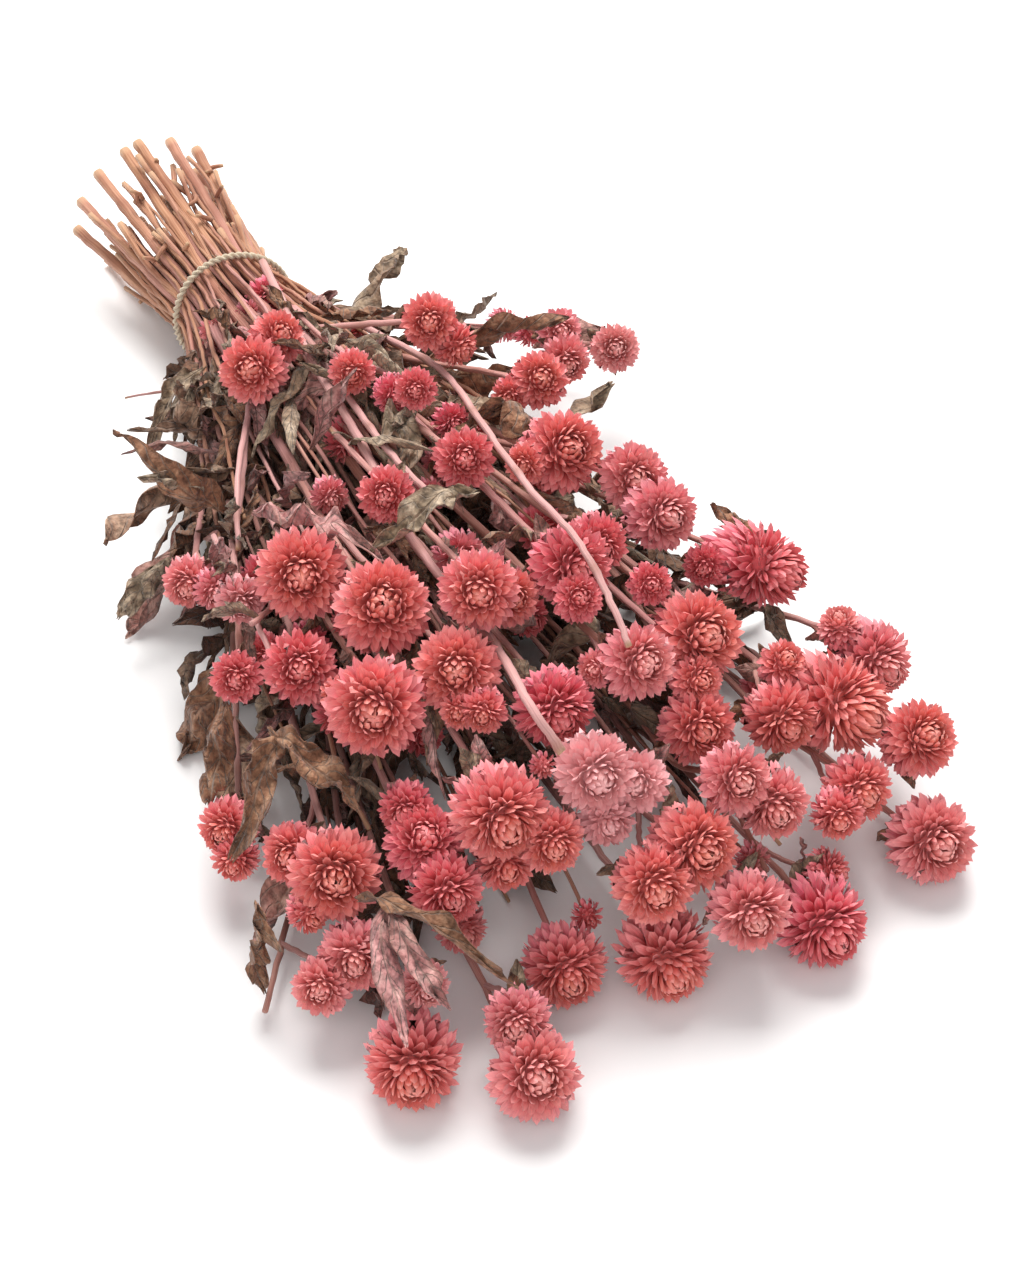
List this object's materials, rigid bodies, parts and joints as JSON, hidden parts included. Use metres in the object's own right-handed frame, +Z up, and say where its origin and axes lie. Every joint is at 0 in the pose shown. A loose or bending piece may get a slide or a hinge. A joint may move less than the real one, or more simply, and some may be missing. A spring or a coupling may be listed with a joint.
{
  "type": "dried flower bunch",
  "caption": "Bunch of dried globe amaranth lying on its side: leafy stems held by a loop of twisted cord and fanning out to round papery flower heads.",
  "frame": {"origin": "middle of the bunch's box in X and Y, on the surface it lies on", "axes": "+X along the bunch from the cord to the flower heads, +Y across it, +Z up"},
  "size_m": [0.4374, 0.2338, 0.0913],
  "materials": {
    "bloom_coral": "matte",
    "bloom_rose": "matte",
    "bloom_crimson": "matte",
    "bloom_dusty": "matte",
    "dry_stem": "matte",
    "tie": "matte"
  },
  "bodies": {
    "root": {"head_01_1": "bloom_rose", "head_01_2": "bloom_dusty", "head_02_1": "bloom_crimson", "head_02_2": "bloom_coral", "head_02_3": "bloom_coral", "head_03_1": "bloom_coral", "head_03_2": "bloom_rose", "head_03_3": "bloom_coral", "head_04_1": "bloom_coral", "head_04_2": "bloom_coral", "head_04_3": "bloom_crimson", "head_04_4": "bloom_crimson", "head_05_1": "bloom_coral", "head_05_2": "bloom_crimson", "head_05_3": "bloom_crimson", "head_05_4": "bloom_rose", "head_06_1": "bloom_crimson", "head_06_2": "bloom_coral", "head_06_3": "bloom_crimson", "head_06_4": "bloom_rose", "head_07_1": "bloom_coral", "head_07_2": "bloom_coral", "head_07_3": "bloom_coral", "head_07_4": "bloom_coral", "head_08_1": "bloom_coral", "head_08_2": "bloom_crimson", "head_08_3": "bloom_coral", "head_08_4": "bloom_crimson", "head_09_1": "bloom_rose", "head_09_2": "bloom_dusty", "head_09_3": "bloom_crimson", "head_09_4": "bloom_coral", "head_09_5": "bloom_coral", "head_10_1": "bloom_rose", "head_10_2": "bloom_dusty", "head_10_3": "bloom_coral", "head_10_4": "bloom_rose", "head_11_1": "bloom_coral", "head_11_2": "bloom_coral", "head_11_3": "bloom_coral", "head_12_1": "bloom_rose", "head_12_2": "bloom_rose", "head_12_3": "bloom_crimson", "head_13_1": "bloom_rose", "head_13_2": "bloom_coral", "head_13_3": "bloom_rose", "stem_01": "dry_stem", "stem_02": "dry_stem", "stem_03": "dry_stem", "stem_04": "dry_stem", "stem_05": "dry_stem", "stem_06": "dry_stem", "stem_07": "dry_stem", "stem_08": "dry_stem", "stem_09": "dry_stem", "stem_10": "dry_stem", "stem_11": "dry_stem", "stem_12": "dry_stem", "stem_13": "dry_stem", "tie": "tie"}
  },
  "joints": []
}
